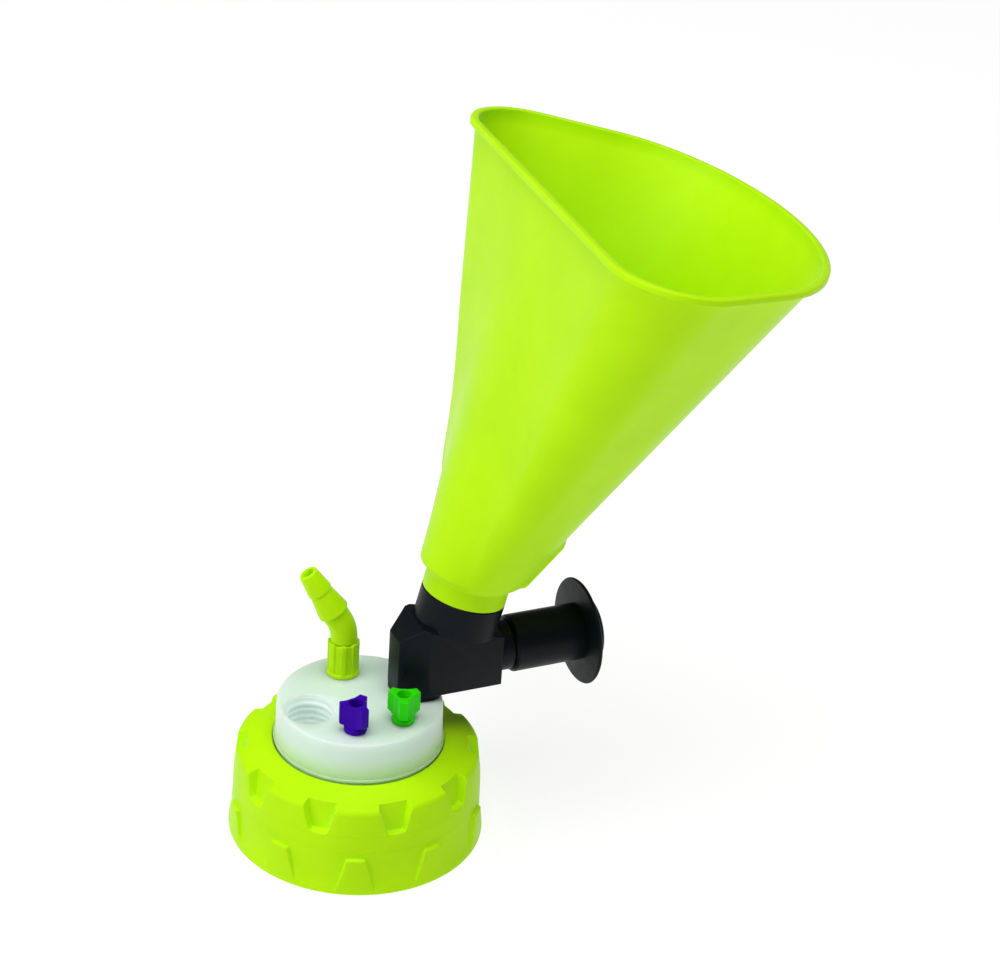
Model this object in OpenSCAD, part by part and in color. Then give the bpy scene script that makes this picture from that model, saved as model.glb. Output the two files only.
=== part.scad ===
// Safety cap for a solvent waste canister, with a leaning funnel closed by a push-pull slide valve.
// Origin: centre of the cap's open end. +Z is up and +X points to the plunger knob.

/* [Node] */
// Sub-part to draw, or all of them

/* [Screw cap] */
// Outer radius of the cap at its flared open end
cap_r = 38.4; // [37.8:0.1:40]
// Outer radius of the cap at the top edge
cap_top_r = 35.5; // [35:0.1:36]
// Height of the cap
cap_h = 30.3; // [30:0.1:31]
// Radius of the thread that takes the canister neck
thread_r = 30.2; // [29.6:0.1:30.6]
// Notches in the upper row, and grip pads in the lower row
notches = 10; // [6:1:12]
// Radius of an upper notch's floor at its foot; the floor slopes in towards the top
notch_floor_r = 34.95; // [34:0.05:35.5]
// How far a grip pad stands out of the cap's foot
pad_height = 0; // [-0.3:0.05:0.6]

/* [Port insert] */
// Height of the insert's top face
insert_top = 43; // [42.5:0.1:43]
// Radius of the insert's top face
insert_r = 24.6; // [24:0.1:24.9]
// Radius of the threaded port for a vent filter
vent_r = 6.6; // [5.5:0.1:6.8]

/* [Winged fittings] */
// Radius over the tips of the wings
wing_r = 5; // [4.4:0.1:5.2]
// Height of a fitting above the insert
wing_h = 9.2; // [8:0.1:11]
// Radius of the hole for a capillary tube
capillary_r = 1; // [0.8:0.1:1.4]

/* [Hose elbow] */
// Angle of the hose barb from upright
elbow_bend = 31.5; // [15:0.5:45]
// Radius of the bore through the barb
hose_bore_r = 1.75; // [1:0.05:2]
// Length of the two stepped barbs together
barb_len = 15.3; // [12:0.1:20]

/* [Slide valve] */
// Radius of the piston
piston_r = 5.2; // [4.8:0.05:5.2]
// Radial running clearance of the piston and the rod
running = 0.05; // [0.02:0.01:0.1]
// Half depth of the valve block
block_hd = 9; // [8.2:0.1:10]
// Radius of the neck that takes the funnel
neck_r = 12.7; // [12.2:0.1:13.2]
// Radius of the plunger's grip sleeve
sleeve_r = 8.7; // [8:0.1:9.5]
// Radius of the knob
knob_r = 16; // [13:0.5:18]

/* [Funnel] */
// Distance from the neck to the mouth along the lean
mouth_dist = 126.85; // [100:0.05:135]
// Wall thickness at the mouth
wall = 1.2; // [1:0.1:1.6]
// Height of the bead round the mouth
bead_h = 2.1; // [1.5:0.1:4]

/* [Hidden] */
$fn = 96;

lime = [0.66, 0.9, 0.06];
white = [0.9, 0.94, 0.92];
black = [0.1, 0.11, 0.13];
rubber = [0.05, 0.05, 0.05];
purple = [0.27, 0.02, 0.6];
green = [0.13, 0.75, 0.1];
steel = [0.7, 0.7, 0.72];
eps = 0.01;

// cap
roof_z = 27.3;
hole_r = 25.6;
pitch_ang = 360 / notches;
notch_face = 249;
// insert
plate_z = 31;
skirt_r = 20.4;
flange_r = 29.4;
flange_z = 24.3;
vent_pos = [-15.8, -0.4];
elbow_pos = [0.3, 15.5];
purple_pos = [-7.05, -14.75];
green_pos = [7.9, -14.7];
outlet_x = 17.6;
spigot_r = 3.1;
stub_r = 3.9;
// elbow
nut_top = insert_top + 11.5;
stem_r = 3.1;
pipe_r = 4.05;
bend_r = 12;
elbow_dir = 160;
// valve
bore_z = 53.26;
bore_r = piston_r + running;
block_x0 = 10.1;
block_x1 = 41.7;
block_z0 = 45.1;
foot_hd = 7.9;
foot_corner_r = 4.45;
foot_x1 = 24.35;
ridge = [16.3, 67.9];
lean = 14;
neck_top = [31.6, 0, 74];
neck_len = 10.1;
neck_bore_r = 9.6;
outlet_r = 4.2;
nipple_r = 5.35;
rod_r = 3;
gland_x = 46.6;
piston_x0 = 12;
piston_x1 = 29.8;
sleeve_x1 = 69.5;
// funnel mouth, in its own plane: u towards +X, v along Y
mouth_lean = 10.94;
funnel_turn = -4.3;
arc_c = 21.2;
arc_a = 42.9;
arc_b = 63.7;
corner = [4.85, 53.55];
corner_r = 18;
polar_c = 11.3;
base_s = 8;
base_r = 15.6;
throat_r = 7.4;
ring_steps = 5;

// ---------- helpers ----------
module along_x(x) {
    translate([x, 0, bore_z])
        rotate([0, 90, 0])
            children();
}

module at_port(p) {
    translate([p[0], p[1], 0])
        children();
}

module ring(r_out, r_in, h) {
    difference() {
        cylinder(r = r_out, h = h);
        translate([0, 0, -1])
            cylinder(r = r_in, h = h + 2);
    }
}

module o_ring(r_mid, r_sec) {
    rotate_extrude()
        translate([r_mid, 0])
            circle(r = r_sec, $fn = 32);
}

// frame of the neck: its Z runs up the funnel's lean, zero at the neck's mouth
module on_neck() {
    translate(neck_top)
        rotate([0, lean, 0])
            children();
}

// ---------- cap ----------
// trapezoid across the cap's wall on its +X side, from radius r0 outwards
module trapezoid(r0, w0, w1, z0, z1) {
    translate([r0, 0, 0])
        rotate([90, 0, 90])
            linear_extrude(8)
                polygon([[-w0 / 2, z0], [w0 / 2, z0], [w1 / 2, z1], [-w1 / 2, z1]]);
}

module screw_cap() {
    color(lime)
    difference() {
        union() {
            rotate_extrude()
                polygon([[0, 0], [cap_r, 0], [cap_r - 0.1, 1.2], [cap_r - 0.65, 3.5],
                         [cap_r - 1, 6], [cap_r - 1.15, 9], [cap_r - 1.25, 14.1],
                         [cap_r - 1.45, 19.5], [cap_top_r + 0.8, 26.6], [cap_top_r, 27.6],
                         [hole_r, cap_h], [0, cap_h]]);
            intersection() {
                cylinder(r = cap_r - 0.05 + pad_height, h = 13);
                for (i = [0 : notches - 1])
                    rotate(notch_face + pitch_ang * i)
                        trapezoid(cap_r - 5, 11.5, 5.4, 0.3, 12.2);
            }
        }
        for (i = [0 : notches - 1])
            rotate(notch_face + pitch_ang * (i + 0.5))
                intersection() {
                    trapezoid(notch_floor_r - 4, 5.2, 10.2, 19.9, cap_h + 0.3);
                    rotate([90, 0, 0])
                        linear_extrude(14, center = true)
                            polygon([[notch_floor_r, 19.5], [notch_floor_r + 6, 19.5],
                                     [notch_floor_r + 6, 32.4], [notch_floor_r - 3, 32.4]]);
                }
        translate([0, 0, -1])
            cylinder(r = thread_r, h = 22);
        translate([0, 0, 20])
            cylinder(r = 28.6, h = 3);
        translate([0, 0, 21.8])
            cylinder(r = flange_r + 0.4, h = roof_z - 21.8);
        translate([0, 0, 26])
            cylinder(r = hole_r, h = 6);
    }
}

// ---------- insert with the ports ----------
module port_insert() {
    color(white)
    difference() {
        union() {
            translate([0, 0, flange_z])
                cylinder(r = flange_r, h = roof_z - 0.1 - flange_z);
            translate([0, 0, 26])
                cylinder(r1 = insert_r + 0.4, r2 = insert_r, h = insert_top - 0.7 - 26);
            translate([0, 0, 30.2])
                cylinder(r1 = insert_r + 0.8, r2 = insert_r + 0.35, h = 1.1);
            translate([0, 0, insert_top - 0.7 - eps])
                cylinder(r1 = insert_r, r2 = insert_r - 0.7, h = 0.7 + eps);
        }
        translate([0, 0, flange_z - 1])
            cylinder(r = skirt_r, h = plate_z - flange_z + 1);
        at_port(vent_pos) {
            translate([0, 0, plate_z - 1])
                cylinder(r = vent_r, h = 14);
            translate([0, 0, insert_top - 1.1])
                cylinder(r1 = vent_r, r2 = vent_r + 1.2, h = 1.2);
        }
        at_port(elbow_pos) {
            translate([0, 0, 34])
                cylinder(r = stub_r + running, h = 10);
            translate([0, 0, plate_z - 1])
                cylinder(r = 2, h = 8);
        }
        for (p = [purple_pos, green_pos])
            at_port(p) {
                translate([0, 0, 34])
                    cylinder(r = spigot_r + running, h = 10);
                translate([0, 0, plate_z - 1])
                    cylinder(r = 1.3, h = 8);
            }
        at_port([outlet_x, 0]) {
            translate([0, 0, flange_z - 1])
                cylinder(r = nipple_r + running, h = insert_top - flange_z + 2);
            translate([0, 0, insert_top - 1.1])
                cylinder(r = nipple_r + 0.8, h = 2);
        }
    }
}

module cap_gasket() {
    color(rubber)
        translate([0, 0, flange_z - 2.3])
            ring(flange_r - 0.3, 22.4, 2.3);
}

// ---------- hose elbow ----------
module elbow_nut() {
    color(lime)
    at_port(elbow_pos)
    difference() {
        union() {
            translate([0, 0, 34.2])
                cylinder(r = stub_r, h = 9);
            translate([0, 0, insert_top + 0.05])
                cylinder(r = 4.95, h = 1.2);
            translate([0, 0, insert_top + 1])
                intersection() {
                    rotate(elbow_dir)
                        cylinder(r = 5.05, h = 10.5, $fn = 6);
                    cylinder(r = 4.75, h = 10.5);
                }
        }
        translate([0, 0, 34])
            cylinder(r = 2, h = 14);
        translate([0, 0, insert_top + 4])
            cylinder(r = stem_r + running, h = 12);
    }
}

// the barb's own frame starts at the end of the bend and runs up the barb
module elbow_end() {
    rotate([0, 0, elbow_dir])
        translate([bend_r, 0, nut_top + 1])
            rotate([0, elbow_bend, 0])
                translate([-bend_r, 0, 0])
                    children();
}

module elbow_arc(r) {
    rotate([0, 0, elbow_dir])
        translate([bend_r, 0, nut_top + 1])
            rotate([90, 0, 0])
                rotate([0, 0, 180 - elbow_bend])
                    rotate_extrude(angle = elbow_bend)
                        translate([bend_r, 0])
                            circle(r = r, $fn = 48);
}

module hose_barb() {
    low = 3;
    step = barb_len * 0.52;
    color(lime)
    at_port(elbow_pos)
    difference() {
        union() {
            translate([0, 0, insert_top + 4.3])
                cylinder(r = stem_r, h = 9);
            translate([0, 0, nut_top + 0.1])
                cylinder(r = pipe_r, h = 0.9);
            elbow_arc(pipe_r);
            elbow_end()
                rotate_extrude()
                    polygon([[0, 0], [pipe_r, 0], [pipe_r, low - 0.6], [4.8, low + 0.1],
                             [3.5, low + step], [3.75, low + step + 0.6],
                             [2.75, low + barb_len], [0, low + barb_len]]);
        }
        translate([0, 0, insert_top + 4])
            cylinder(r = hose_bore_r, h = nut_top + 1 - insert_top - 4);
        elbow_arc(hose_bore_r);
        elbow_end()
            cylinder(r = hose_bore_r, h = barb_len + 6);
        translate([0, 0, insert_top + 6])
            ring(stem_r + 1, 2.28, 1);
    }
}

module elbow_o_ring() {
    color(rubber)
    at_port(elbow_pos)
        translate([0, 0, insert_top + 6.5])
            o_ring(2.7, 0.42);
}

// ---------- winged capillary fittings ----------
module winged_fitting(turn) {
    z = insert_top + 0.05;
    difference() {
        union() {
            translate([0, 0, 37])
                cylinder(r = spigot_r, h = 7);
            translate([0, 0, z])
                cylinder(r = 3.4, h = 1.6);
            translate([0, 0, z + 1])
                cylinder(r = 2.95, h = wing_h - 1.2);
            intersection() {
                translate([0, 0, z + 1.2])
                    linear_extrude(wing_h - 1.2)
                        rotate(turn)
                            difference() {
                                circle(r = wing_r);
                                for (a = [60, 180, 300])
                                    rotate(a)
                                        translate([wing_r + 8.4, 0])
                                            circle(r = wing_r + 5.6, $fn = 128);
                            }
                union() {
                    translate([0, 0, z + 1.2])
                        cylinder(r1 = 3, r2 = wing_r + 0.2, h = 1.6);
                    translate([0, 0, z + 2.8 - eps])
                        cylinder(r = wing_r + 0.2, h = wing_h);
                }
            }
        }
        translate([0, 0, 36])
            cylinder(r = capillary_r, h = 20);
        translate([0, 0, z + wing_h - 4.5])
            cylinder(r = 2.1, h = 6);
    }
}

module purple_fitting() {
    color(purple)
    at_port(purple_pos)
        winged_fitting(283);
}

module green_fitting() {
    color(green)
    at_port(green_pos)
        winged_fitting(248);
}

module ferrule() {
    difference() {
        translate([0, 0, 34.05])
            cylinder(r1 = 1.7, r2 = 2.8, h = 2.7);
        translate([0, 0, 33])
            cylinder(r = capillary_r, h = 6);
    }
}

module purple_ferrule() {
    color(white)
    at_port(purple_pos)
        ferrule();
}

module green_ferrule() {
    color(white)
    at_port(green_pos)
        ferrule();
}

// ---------- slide valve ----------
module block_foot() {
    c = foot_hd - foot_corner_r;
    x = foot_x1 - foot_corner_r;
    translate([0, 0, insert_top + 0.05])
        linear_extrude(block_z0 - insert_top - 0.05)
            union() {
                polygon([[block_x0, -4], [ridge[0], -foot_hd], [x, -foot_hd],
                         [x, foot_hd], [ridge[0], foot_hd], [block_x0, 4]]);
                translate([x - 1, -c])
                    square([foot_corner_r + 1, 2 * c]);
                for (y = [-c, c])
                    translate([x, y])
                        circle(r = foot_corner_r);
            }
}

module valve_block() {
    shoulder_x = block_x0 + (block_hd - 4) * (ridge[0] - block_x0) / (foot_hd - 4);
    color(black)
    difference() {
        union() {
            intersection() {
                rotate([90, 0, 0])
                    linear_extrude(2 * block_hd, center = true)
                        polygon([[block_x0, block_z0], [block_x1, block_z0], [block_x1, 61.9],
                                 ridge, [block_x0, 62.8]]);
                translate([0, 0, 40])
                    linear_extrude(32)
                        polygon([[block_x0, -4], [shoulder_x, -block_hd],
                                 [block_x1 + 1, -block_hd], [block_x1 + 1, block_hd],
                                 [shoulder_x, block_hd], [block_x0, 4]]);
            }
            block_foot();
            on_neck()
                translate([0, 0, -neck_len])
                    cylinder(r = neck_r, h = neck_len);
            along_x(block_x1 - 1)
                cylinder(r = 6.5, h = 3.3);
        }
        along_x(piston_x0 - 0.2)
            cylinder(r = bore_r, h = 40);
        translate([outlet_x, 0, insert_top - 1])
            cylinder(r = outlet_r, h = bore_z - insert_top + 1);
        translate([outlet_x, 0, insert_top - 1])
            cylinder(r = nipple_r + running, h = 5.05);
        on_neck()
            translate([0, 0, -8.6])
                cylinder(r = neck_bore_r, h = 10);
        translate([21.5, 0, bore_z])
            rotate([0, 29.4, 0])
                cylinder(r = 4, h = 14.5);
    }
}

module outlet_nipple() {
    color(black)
        translate([outlet_x, 0, 24.6])
            ring(nipple_r, outlet_r, insert_top + 4 - 24.6);
}

module outlet_seal() {
    color(rubber)
        translate([outlet_x, 0, insert_top - 1.05])
            ring(nipple_r + 0.75, nipple_r + 0.05, 1);
}

module gland_nut() {
    color(black)
    difference() {
        along_x(block_x1 + 0.05)
            cylinder(r = 7.7, h = gland_x - block_x1 - 0.05);
        along_x(block_x1 - 1)
            cylinder(r = 6.55, h = 3.4);
        along_x(block_x1)
            cylinder(r = 4.4, h = 3.3);
        along_x(block_x1)
            cylinder(r = rod_r + running, h = 6);
    }
}

module rod_seal() {
    color(rubber)
        along_x(block_x1 + 2.45)
            ring(4.35, rod_r + running, 0.8);
}

module piston() {
    color(black)
    difference() {
        along_x(piston_x0)
            cylinder(r = piston_r, h = piston_x1 - piston_x0);
        for (x = [piston_x0 + 0.7, piston_x1 - 1.7])
            along_x(x)
                ring(piston_r + 1, piston_r - 1, 1);
        along_x(piston_x1 - 6)
            cylinder(r = 2, h = 7);
    }
}

module piston_o_ring_front() {
    color(rubber)
        along_x(piston_x0 + 1.2)
            o_ring(piston_r - 0.54, 0.45);
}

module piston_o_ring_rear() {
    color(rubber)
        along_x(piston_x1 - 1.2)
            o_ring(piston_r - 0.54, 0.45);
}

module piston_rod() {
    color(steel)
    difference() {
        union() {
            along_x(piston_x1 - 5.8)
                cylinder(r = 1.95, h = 6);
            along_x(piston_x1 + 0.05)
                cylinder(r = rod_r, h = sleeve_x1 - piston_x1 - 0.1);
        }
        along_x(sleeve_x1 - 8)
            cylinder(r = 1.5, h = 9);
    }
}

module grip_sleeve() {
    x0 = gland_x + 0.15;
    color(black)
    difference() {
        union() {
            along_x(x0)
                cylinder(r1 = sleeve_r - 0.9, r2 = sleeve_r, h = 1);
            along_x(x0 + 1 - eps)
                cylinder(r = sleeve_r, h = sleeve_x1 - x0 - 1 + eps);
        }
        along_x(x0 - 1)
            cylinder(r = 5.6, h = sleeve_x1 - 3.5 - x0 + 1);
        along_x(x0)
            cylinder(r = rod_r + running, h = 30);
    }
}

module knob() {
    color(black)
    difference() {
        along_x(sleeve_x1 + 0.05)
            rotate_extrude($fn = 128)
                polygon([[0, 0], [sleeve_r + 1, 0], [knob_r - 0.4, 0.35], [knob_r, 0.6],
                         [knob_r, 0.95], [knob_r - 0.5, 1.3], [10.6, 2.15], [0, 2.15]]);
        along_x(sleeve_x1)
            cylinder(r = 1.6, h = 4);
    }
}

module knob_cap() {
    x0 = sleeve_x1 + 2.25;
    color(black)
    difference() {
        union() {
            along_x(x0)
                cylinder(r = 10.45, h = 2);
            along_x(x0 + 2 - eps)
                cylinder(r1 = 10.45, r2 = 9.85, h = 0.6 + eps);
        }
        along_x(x0 - 1)
            cylinder(r = 3.2, h = 2.75);
    }
}

module knob_screw() {
    color(steel)
    union() {
        along_x(sleeve_x1 + 2.22)
            cylinder(r = 2.75, h = 1.6);
        along_x(sleeve_x1 - 7)
            cylinder(r = 1.45, h = 9.3);
    }
}

// ---------- funnel ----------
// outline of the mouth as the hull of a wide ellipse and two corner circles,
// taken by the direction t of its outward normal and pushed out by g
function arc_sup(t) = arc_c * cos(t) + sqrt(pow(arc_a * cos(t), 2) + pow(arc_b * sin(t), 2));
function corner_sup(t) = corner[0] * cos(t) + corner[1] * abs(sin(t)) + corner_r;
function arc_pt(t) =
    let (h = sqrt(pow(arc_a * cos(t), 2) + pow(arc_b * sin(t), 2)))
    [arc_c + arc_a * arc_a * cos(t) / h, arc_b * arc_b * sin(t) / h];
function corner_pt(t) =
    [corner[0] + corner_r * cos(t), sign(sin(t)) * corner[1] + corner_r * sin(t)];
function mouth_pt(t) = (t < 90 && arc_sup(t) > corner_sup(t)) ? arc_pt(t) : corner_pt(t);
flat_n = 16;
turn_n = 26;

edge_t = [for (i = [0 : turn_n - 1]) 179.9 * i / (turn_n - 1)];
upper = [for (t = edge_t) [mouth_pt(t + 0.01), t]];
flat_side = [for (i = [1 : flat_n - 1])
    [[corner[0] - corner_r, corner[1] * (1 - 2 * i / flat_n)], 180]];
lower = [for (i = [turn_n - 1 : -1 : 1])
    [[mouth_pt(edge_t[i])[0], -mouth_pt(edge_t[i])[1]], -edge_t[i]]];
outline = concat(upper, flat_side, lower);
count = len(outline);

// a point k of a section: q = 0 at the base circle, 1 at the mouth plane
function mouth_xyz(k, g, drop) =
    let (p = outline[k][0] + g * [cos(outline[k][1]), sin(outline[k][1])])
    let (u = p[0], v = p[1])
    [mouth_dist * sin(lean) + u * cos(mouth_lean) - drop * sin(mouth_lean),
     v,
     mouth_dist * cos(lean) - u * sin(mouth_lean) - drop * cos(mouth_lean)];
function base_xyz(k, r) =
    let (p = outline[k][0], a = atan2(p[1], p[0] - polar_c))
    [base_s * sin(lean) + r * cos(a) * cos(lean),
     r * sin(a),
     base_s * cos(lean) - r * cos(a) * sin(lean)];
function section(r, g, drop, q) =
    [for (k = [0 : count - 1]) base_xyz(k, r) * (1 - q) + mouth_xyz(k, g, drop) * q];
skin = concat(
    [for (i = [0 : ring_steps]) section(base_r, wall, bead_h, i / ring_steps)],
    [section(base_r, 2 * wall, bead_h, 1)],
    [section(base_r, 2 * wall, 0, 1)],
    [for (i = [0 : ring_steps]) section(base_r - 1.8, 0, 0, 1 - i / ring_steps)]);
skin_n = len(skin);
skin_pts = [for (s = skin) for (p = s) p];
skin_faces = [for (i = [0 : skin_n - 1], k = [0 : count - 1])
    let (j = (i + 1) % skin_n, m = (k + 1) % count)
    for (f = [[i * count + k, j * count + k, i * count + m],
              [i * count + m, j * count + k, j * count + m]]) f];

module funnel_body() {
    polyhedron(points = skin_pts, faces = skin_faces, convexity = 6);
}

module funnel() {
    color(lime)
    translate(neck_top)
    rotate(a = funnel_turn, v = [sin(lean), 0, cos(lean)])
    union() {
        funnel_body();
        rotate([0, lean, 0])
            difference() {
                union() {
                    translate([0, 0, -7.5])
                        cylinder(r = neck_bore_r - 0.05, h = 8);
                    translate([0, 0, 0.05])
                        cylinder(r = neck_r, h = 5.6);
                    translate([0, 0, 5.5])
                        cylinder(r1 = neck_r, r2 = base_r - 0.3, h = 2.5 + eps);
                    translate([0, 0, base_s])
                        cylinder(r = base_r - 0.45, h = 1);
                }
                translate([0, 0, -8])
                    cylinder(r = throat_r, h = 18);
                translate([0, 0, 3])
                    cylinder(r1 = throat_r - eps, r2 = base_r - 1.6, h = 5);
                translate([0, 0, base_s - eps])
                    cylinder(r = base_r - 1.6, h = 2);
            }
    }
}

module funnel_seal() {
    color(rubber)
    on_neck()
        translate([0, 0, -8.55])
            ring(neck_bore_r - 0.1, throat_r, 1);
}

screw_cap();
port_insert();
cap_gasket();
elbow_nut();
hose_barb();
elbow_o_ring();
purple_fitting();
purple_ferrule();
green_fitting();
green_ferrule();
valve_block();
outlet_nipple();
outlet_seal();
gland_nut();
rod_seal();
piston();
piston_o_ring_front();
piston_o_ring_rear();
piston_rod();
grip_sleeve();
knob();
knob_cap();
knob_screw();
funnel();
funnel_seal();
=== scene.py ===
from math import acos, cos, exp, pi, radians, sin, sqrt, tan

import bmesh
import bpy
import numpy as np
from mathutils import Matrix, Vector


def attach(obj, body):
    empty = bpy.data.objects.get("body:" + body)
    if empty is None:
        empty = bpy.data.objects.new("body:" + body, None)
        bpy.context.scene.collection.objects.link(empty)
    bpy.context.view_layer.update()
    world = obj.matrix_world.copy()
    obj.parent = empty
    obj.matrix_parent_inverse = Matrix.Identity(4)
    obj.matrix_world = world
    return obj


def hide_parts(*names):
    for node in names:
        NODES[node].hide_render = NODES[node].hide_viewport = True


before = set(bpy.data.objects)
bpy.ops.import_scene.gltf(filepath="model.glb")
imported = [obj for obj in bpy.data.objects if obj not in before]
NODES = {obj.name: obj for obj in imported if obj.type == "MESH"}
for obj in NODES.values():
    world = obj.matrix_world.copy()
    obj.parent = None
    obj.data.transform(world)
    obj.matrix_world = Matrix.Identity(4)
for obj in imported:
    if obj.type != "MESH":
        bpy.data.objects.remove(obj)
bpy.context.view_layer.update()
MM = 0.001
scene = bpy.context.scene

# ---------------------------------------------------------------- shared places, in millimetres
PORTS = {"vent": (-15.8, -0.4), "elbow": (0.3, 15.5), "purple": (-7.05, -14.75), "green": (7.9, -14.7)}
OUTLET_X = 17.6                     # axis of the pipe from the block down through the insert
SEAT_Z = 43.05                      # what sits on the insert starts a hair above its top
ELBOW_HEADING = radians(160)        # plan direction in which the hose pipe bends
SLIDE_Z = 53.26                     # height of the plunger's axis
BLOCK_FRONT, BLOCK_END = 10.1, 41.7  # the valve block's two ends along X
NECK = np.array([31.6, 0.0, 74.0])  # middle of the neck's mouth
LEAN = radians(14.0)                # lean of the neck and of the funnel towards +X
AXIS = 0.001                        # radius at which a turned outline stops at its own axis


# ---------------------------------------------------------------- mesh helpers
def shade(ob, sharp=38.0):
    """Smooth faces, with edges over the sharp angle kept sharp."""
    me = ob.data
    me.polygons.foreach_set("use_smooth", [True] * len(me.polygons))
    me.set_sharp_from_angle(angle=radians(sharp))
    me.update()


def as_mesh(name, verts, faces, sharp=38.0, weld=4e-6):
    """An object from millimetre points, welded, with its normals outwards and sharp edges by angle."""
    me = bpy.data.meshes.new(name)
    points = [tuple(float(c) * MM for c in v) for v in verts]
    me.from_pydata(points, [], [tuple(int(i) for i in f) for f in faces])
    bm = bmesh.new()
    bm.from_mesh(me)
    bmesh.ops.remove_doubles(bm, verts=bm.verts, dist=weld)
    bmesh.ops.dissolve_degenerate(bm, edges=bm.edges, dist=1e-6)
    bmesh.ops.recalc_face_normals(bm, faces=bm.faces)
    bm.to_mesh(me)
    bm.free()
    ob = bpy.data.objects.new(name, me)
    scene.collection.objects.link(ob)
    shade(ob, sharp)
    return ob


def apply_modifiers(ob):
    """Turns the object's modifiers into its own mesh."""
    bpy.context.view_layer.update()
    deps = bpy.context.evaluated_depsgraph_get()
    me = bpy.data.meshes.new_from_object(ob.evaluated_get(deps))
    old = ob.data
    ob.modifiers.clear()
    ob.data = me
    bpy.data.meshes.remove(old)


def boolean(ob, tool, operation="DIFFERENCE"):
    """Cuts the tool out of the object, or joins it on, and removes the tool."""
    m = ob.modifiers.new("cut", "BOOLEAN")
    m.object = tool
    m.operation = operation
    m.solver = "EXACT"
    apply_modifiers(ob)
    bpy.data.objects.remove(tool)


def bevel(ob, width, segments=3, angle=30.0):
    """Rounds every edge that turns by more than the angle."""
    m = ob.modifiers.new("edge", "BEVEL")
    m.width = width * MM
    m.segments = segments
    m.limit_method = "ANGLE"
    m.angle_limit = radians(angle)
    m.use_clamp_overlap = True
    apply_modifiers(ob)


def put(ob, body, nodes, material):
    """Gives a finished piece its body, the CAD nodes it stands for and its material."""
    ob.data.materials.clear()
    ob.data.materials.append(material)
    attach(ob, body)
    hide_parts(*nodes)


def sheet_faces(rows, cols, close_rows):
    """Faces of a grid of points whose columns run all the way round, and whose rows may too."""
    out = []
    for i in range(rows if close_rows else rows - 1):
        j = (i + 1) % rows
        for k in range(cols):
            m = (k + 1) % cols
            out.append((i * cols + k, i * cols + m, j * cols + m, j * cols + k))
    return out


def fillet(points, radii, steps=5, closed=True):
    """Rounds the corners of a 2-D outline: radii holds one radius for each corner."""
    pts = [np.array(p, float) for p in points]
    last = len(pts) - 1
    out = []
    for i, (p, r) in enumerate(zip(pts, radii)):
        if r <= 0 or (not closed and i in (0, last)):
            out.append(p)
            continue
        a, b = pts[i - 1] - p, pts[0 if i == last else i + 1] - p
        la, lb = np.linalg.norm(a), np.linalg.norm(b)
        a, b = a / la, b / lb
        angle = acos(max(-1.0, min(1.0, float(a @ b))))
        if angle > pi - 0.02:
            out.append(p)
            continue
        t = min(r / tan(angle / 2), 0.49 * la, 0.49 * lb)
        r = t * tan(angle / 2)
        centre = p + (a + b) / np.linalg.norm(a + b) * r / sin(angle / 2)
        v0, v1 = p + a * t - centre, p + b * t - centre
        turn = pi - angle
        for k in range(steps + 1):
            f = k / steps
            out.append(centre + (sin((1 - f) * turn) * v0 + sin(f * turn) * v1) / sin(turn))
    return [tuple(q) for q in out]


def step(x, soft):
    """0 below -soft, 1 above soft, and smooth between."""
    t = np.clip((x + soft) / (2 * soft), 0, 1)
    return t * t * (3 - 2 * t)


def full_turn(count):
    return np.linspace(0, 2 * pi, count, endpoint=False)


def turn_ring(r, angles, z):
    """A ring of points about Z. The radius and the height may vary with the angle."""
    return np.stack([r * np.cos(angles), r * np.sin(angles), np.zeros(len(angles)) + z], 1)


def skin(name, rings, sharp=38.0, place=None):
    """One closed skin through rings of points, the last of which joins the first."""
    grid = np.array(rings)
    verts = grid.reshape(-1, 3)
    if place is not None:
        verts = place(verts)
    return as_mesh(name, verts, sheet_faces(len(grid), grid.shape[1], True), sharp)


def lathe(name, profile, count=96, sharp=38.0, place=None):
    """Turns an outline of (radius, height) points about Z, then maps it with place."""
    angles = full_turn(count)
    return skin(name, [turn_ring(r, angles, z) for r, z in profile], sharp, place)


def cutter(name, x, y, outline, count=64):
    """A closed upright cutter with flat ends, from (radius, height) rows that run from low to high."""
    angles = full_turn(count)
    grid = np.array([turn_ring(r, angles, z) for r, z in outline]) + np.array([x, y, 0])
    last = (len(grid) - 1) * count
    faces = sheet_faces(len(grid), count, False)
    faces += [tuple(range(count)), tuple(range(last, last + count))]
    return as_mesh(name, grid.reshape(-1, 3), faces)


def prism(name, outline, depth, mapper):
    """A closed prism of a 2-D outline, from depth[0] to depth[1], placed by mapper(p, q, d)."""
    n = len(outline)
    verts = [mapper(p, q, d) for d in depth for p, q in outline]
    faces = [(k, (k + 1) % n, n + (k + 1) % n, n + k) for k in range(n)]
    faces += [tuple(range(n)), tuple(range(n, 2 * n))]
    return as_mesh(name, verts, faces)


def thread(z, angles, pitch, half, soft):
    """1 on the turns of a right-handed thread and 0 between them, at the height z."""
    phase = (z / pitch - angles / (2 * pi)) % 1.0
    return step(half - np.abs(phase - 0.5), soft)


def along_x(x):
    """The turned axis lies along the plunger's, starting at x."""
    return lambda v: np.stack([v[:, 2] + x, v[:, 1], SLIDE_Z - v[:, 0]], 1)


def at(x, y):
    return lambda v: v + np.array([x, y, 0.0])


def tilt(v, angle, axis):
    k = np.array(axis, float) / np.linalg.norm(axis)
    c, s = cos(angle), sin(angle)
    return v * c + np.cross(k, v) * s + k * (v @ k)[:, None] * (1 - c)


def on_neck(v):
    return tilt(v, LEAN, (0, 1, 0)) + NECK


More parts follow.
